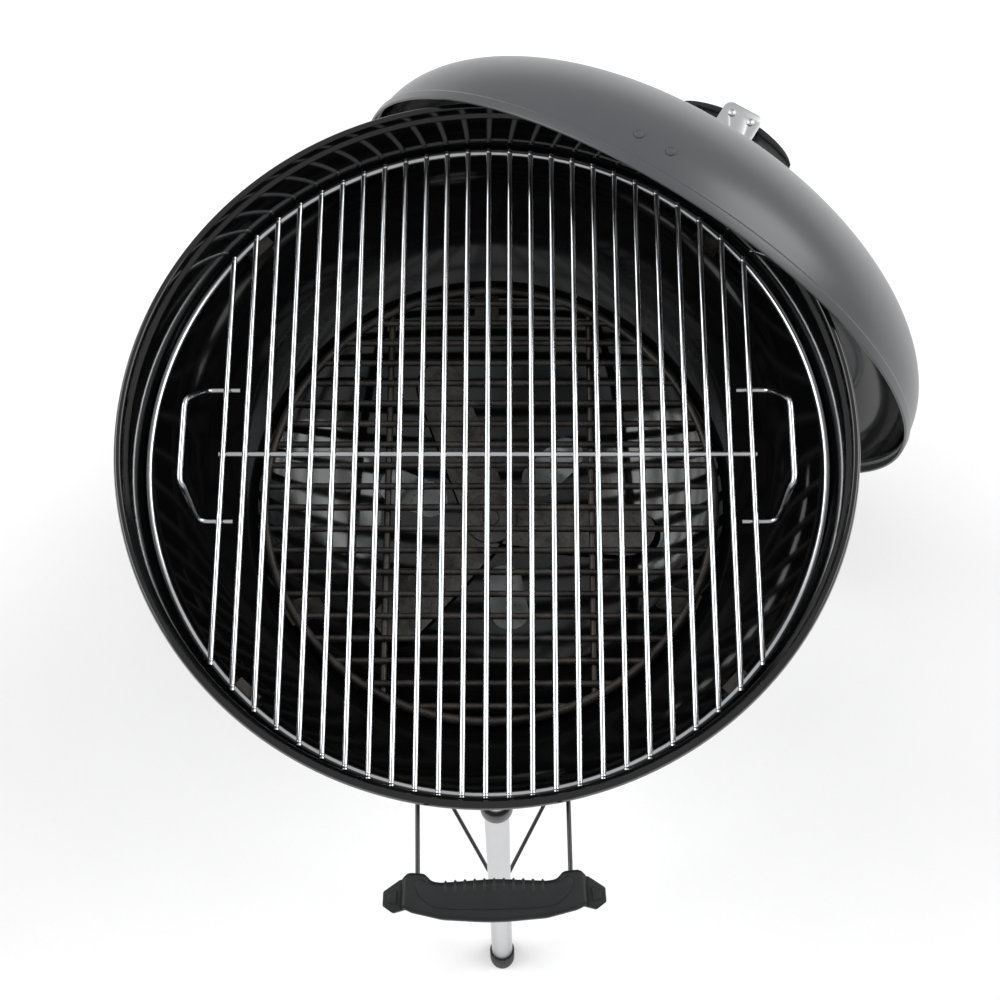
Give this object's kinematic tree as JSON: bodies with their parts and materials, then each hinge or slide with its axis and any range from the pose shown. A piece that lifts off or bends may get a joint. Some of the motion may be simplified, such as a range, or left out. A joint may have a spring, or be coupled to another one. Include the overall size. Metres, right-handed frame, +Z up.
{
  "type": "kettle charcoal grill",
  "caption": "Round kettle charcoal grill on a tripod with two wheels, a wire cooking grate, a front handle and a domed lid hung on the rim.",
  "frame": {"origin": "centre of the bounding box on the floor, under the feet and wheels", "axes": "+Z up; the front handle and the single foot are at -Y; the axle runs along X; the hung lid is at the back right, towards +X and +Y"},
  "size_m": [0.737, 0.8046, 0.7666],
  "materials": {
    "enamel_black": "glossy vitreous enamel",
    "enamel_smoke": "glossy smoke-grey vitreous enamel",
    "plated_wire": "bright plated wire",
    "dark_steel": "dark heat-stained steel",
    "aluminium": "satin",
    "black_wire": "black coated wire",
    "nylon": "fine-textured glass-filled nylon",
    "wheel_plastic": "matt moulded",
    "foot_plastic": "matt black",
    "zinc_steel": "zinc-plated"
  },
  "bodies": {
    "base": {"bowl": "enamel_black", "grate_bracket_1": "dark_steel", "grate_bracket_2": "dark_steel", "grate_bracket_3": "dark_steel", "grate_bracket_4": "dark_steel", "coal_bracket_1": "dark_steel", "coal_bracket_2": "dark_steel", "coal_bracket_3": "dark_steel", "leg_front": "aluminium", "leg_socket_front": "enamel_black", "foot_front": "foot_plastic", "leg_right": "aluminium", "leg_socket_right": "enamel_black", "foot_right": "foot_plastic", "leg_left": "aluminium", "leg_socket_left": "enamel_black", "foot_left": "foot_plastic", "axle": "zinc_steel", "hub_cap_right": "aluminium", "hub_cap_left": "aluminium", "wire_rack": "black_wire", "ash_pan_holder": "black_wire", "handle_wire": "black_wire", "handle_grip_upper": "nylon", "handle_grip_lower": "nylon"},
    "lid": {"lid": "enamel_smoke", "lid_grip": "nylon", "lid_bracket": "aluminium", "lid_rivet_1": "aluminium", "lid_rivet_2": "aluminium", "lid_bolt": "zinc_steel", "lid_hook": "aluminium", "hook_rivet_1": "aluminium", "hook_rivet_2": "aluminium", "damper_rivet": "aluminium"},
    "damper": {"damper": "aluminium"},
    "cooking_grate": {"cooking_grate": "plated_wire", "grate_handle_right": "plated_wire", "grate_handle_left": "plated_wire"},
    "charcoal_grate": {"charcoal_grate": "dark_steel"},
    "sweeper": {"sweeper_shaft": "aluminium", "blade_1": "aluminium", "blade_2": "aluminium", "blade_3": "aluminium", "lever": "aluminium", "lever_grip": "nylon"},
    "ash_pan": {"ash_pan": "aluminium"},
    "wheel_right": {"wheel_right": "wheel_plastic"},
    "wheel_left": {"wheel_left": "wheel_plastic"}
  },
  "joints": [
    {"name": "lid_lift", "type": "slide", "parent": "base", "child": "lid", "axis": [0, 0, 1], "range_m": [0, 0.22]},
    {"name": "damper_turn", "type": "hinge", "parent": "lid", "child": "damper", "pos_m": [0.18273, 0.304, 0.28937], "axis": [0.5148, 0.7837, -0.3476], "range_deg": [0, 45]},
    {"name": "cooking_grate_lift", "type": "slide", "parent": "base", "child": "cooking_grate", "axis": [0, 0, 1], "range_m": [0, 0.035]},
    {"name": "charcoal_grate_lift", "type": "slide", "parent": "base", "child": "charcoal_grate", "axis": [0, 0, 1], "range_m": [0, 0.09]},
    {"name": "sweeper_turn", "type": "hinge", "parent": "base", "child": "sweeper", "pos_m": [-0.01848, -0.00232, 0.43], "axis": [0, 0, 1], "range_deg": [0, 50]},
    {"name": "ash_pan_lift", "type": "slide", "parent": "base", "child": "ash_pan", "axis": [0, 0, 1], "range_m": [0, 0.035]},
    {"name": "wheel_right_spin", "type": "hinge", "parent": "base", "child": "wheel_right", "pos_m": [0.30452, 0.14622, 0.076], "axis": [1, 0, 0], "continuous": true},
    {"name": "wheel_left_spin", "type": "hinge", "parent": "base", "child": "wheel_left", "pos_m": [-0.34148, 0.14622, 0.076], "axis": [1, 0, 0], "continuous": true}
  ]
}
